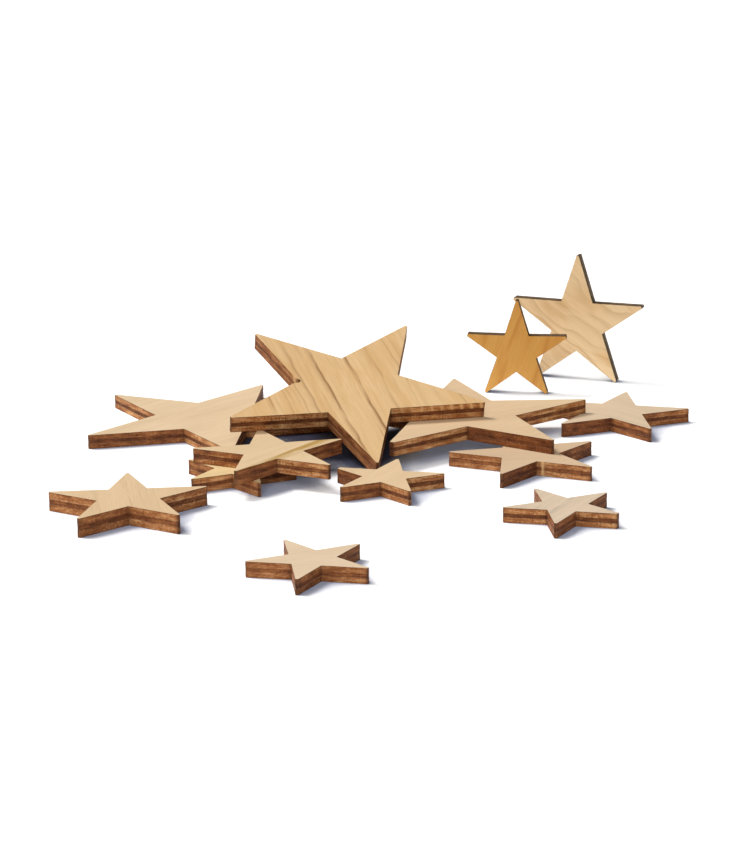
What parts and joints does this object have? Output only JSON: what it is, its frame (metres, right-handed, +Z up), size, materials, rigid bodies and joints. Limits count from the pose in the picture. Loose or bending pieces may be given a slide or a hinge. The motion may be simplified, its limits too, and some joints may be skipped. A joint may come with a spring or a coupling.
{
  "type": "plywood star pile",
  "caption": "Loose pile of flat plywood stars in large, medium and small sizes, some lying flat, one leaning on others and some standing on edge.",
  "frame": {"origin": "middle of the pile's footprint, on the table top", "axes": "+Z up; +Y to the back, along the pile's longest side; +X to the right, seen from the front"},
  "size_m": [0.2624, 0.3137, 0.0582],
  "materials": {
    "face_veneer": "sanded, unvarnished",
    "golden_face_veneer": "sanded, unvarnished",
    "pale_face_veneer": "sanded, unvarnished",
    "back_veneer": "sanded, with a scorched edge",
    "core_veneer": "scorched edge"
  },
  "bodies": {
    "left_large_star": {"left_large_star_back_ply": "back_veneer", "left_large_star_core_ply": "core_veneer", "left_large_star_face_ply": "face_veneer"},
    "right_large_star": {"right_large_star_back_ply": "back_veneer", "right_large_star_core_ply": "core_veneer", "right_large_star_face_ply": "face_veneer"},
    "far_right_medium_star": {"far_right_medium_star_back_ply": "back_veneer", "far_right_medium_star_core_ply": "core_veneer", "far_right_medium_star_face_ply": "face_veneer"},
    "propping_medium_star": {"propping_medium_star_back_ply": "back_veneer", "propping_medium_star_core_ply": "core_veneer", "propping_medium_star_face_ply": "face_veneer"},
    "thick_medium_star": {"thick_medium_star_back_ply": "back_veneer", "thick_medium_star_core_ply": "core_veneer", "thick_medium_star_face_ply": "face_veneer"},
    "upper_medium_star": {"upper_medium_star_back_ply": "back_veneer", "upper_medium_star_core_ply": "core_veneer", "upper_medium_star_face_ply": "face_veneer"},
    "lower_small_star": {"lower_small_star_back_ply": "back_veneer", "lower_small_star_core_ply": "core_veneer", "lower_small_star_face_ply": "face_veneer"},
    "middle_small_star": {"middle_small_star_back_ply": "back_veneer", "middle_small_star_core_ply": "core_veneer", "middle_small_star_face_ply": "face_veneer"},
    "right_small_star": {"right_small_star_back_ply": "back_veneer", "right_small_star_core_ply": "core_veneer", "right_small_star_face_ply": "face_veneer"},
    "front_small_star": {"front_small_star_back_ply": "back_veneer", "front_small_star_core_ply": "core_veneer", "front_small_star_face_ply": "face_veneer"},
    "leaning_large_star": {"leaning_large_star_back_ply": "back_veneer", "leaning_large_star_core_ply": "core_veneer", "leaning_large_star_face_ply": "face_veneer"},
    "standing_medium_star": {"standing_medium_star_back_ply": "back_veneer", "standing_medium_star_core_ply": "core_veneer", "standing_medium_star_face_ply": "pale_face_veneer"},
    "standing_small_star": {"standing_small_star_back_ply": "back_veneer", "standing_small_star_core_ply": "core_veneer", "standing_small_star_face_ply": "golden_face_veneer"}
  },
  "joints": [
    {"name": "lower_small_star_lift", "type": "slide", "parent": "left_large_star", "child": "lower_small_star", "axis": [0, 0, 1], "range_m": [0, 0.08]},
    {"name": "upper_medium_star_lift", "type": "slide", "parent": "lower_small_star", "child": "upper_medium_star", "axis": [0, 0, 1], "range_m": [0, 0.08]},
    {"name": "leaning_large_star_lift", "type": "slide", "parent": "upper_medium_star", "child": "leaning_large_star", "axis": [0, 0, 1], "range_m": [0, 0.08]},
    {"name": "thick_medium_star_lift", "type": "slide", "parent": "left_large_star", "child": "thick_medium_star", "axis": [0, 0, 1], "range_m": [0, 0.08]},
    {"name": "middle_small_star_lift", "type": "slide", "parent": "left_large_star", "child": "middle_small_star", "axis": [0, 0, 1], "range_m": [0, 0.08]},
    {"name": "right_small_star_lift", "type": "slide", "parent": "left_large_star", "child": "right_small_star", "axis": [0, 0, 1], "range_m": [0, 0.08]},
    {"name": "front_small_star_lift", "type": "slide", "parent": "left_large_star", "child": "front_small_star", "axis": [0, 0, 1], "range_m": [0, 0.08]},
    {"name": "standing_medium_star_lift", "type": "slide", "parent": "left_large_star", "child": "standing_medium_star", "axis": [0, 0, 1], "range_m": [0, 0.1]},
    {"name": "standing_small_star_lift", "type": "slide", "parent": "left_large_star", "child": "standing_small_star", "axis": [0, 0, 1], "range_m": [0, 0.1]},
    {"name": "right_large_star_slide", "type": "slide", "parent": "left_large_star", "child": "right_large_star", "axis": [1, 0, 0], "range_m": [0, 0.12]},
    {"name": "propping_medium_star_slide", "type": "slide", "parent": "left_large_star", "child": "propping_medium_star", "axis": [1, 0, 0], "range_m": [0, 0.1]},
    {"name": "far_right_medium_star_slide", "type": "slide", "parent": "left_large_star", "child": "far_right_medium_star", "axis": [1, 0, 0], "range_m": [0, 0.1]}
  ]
}
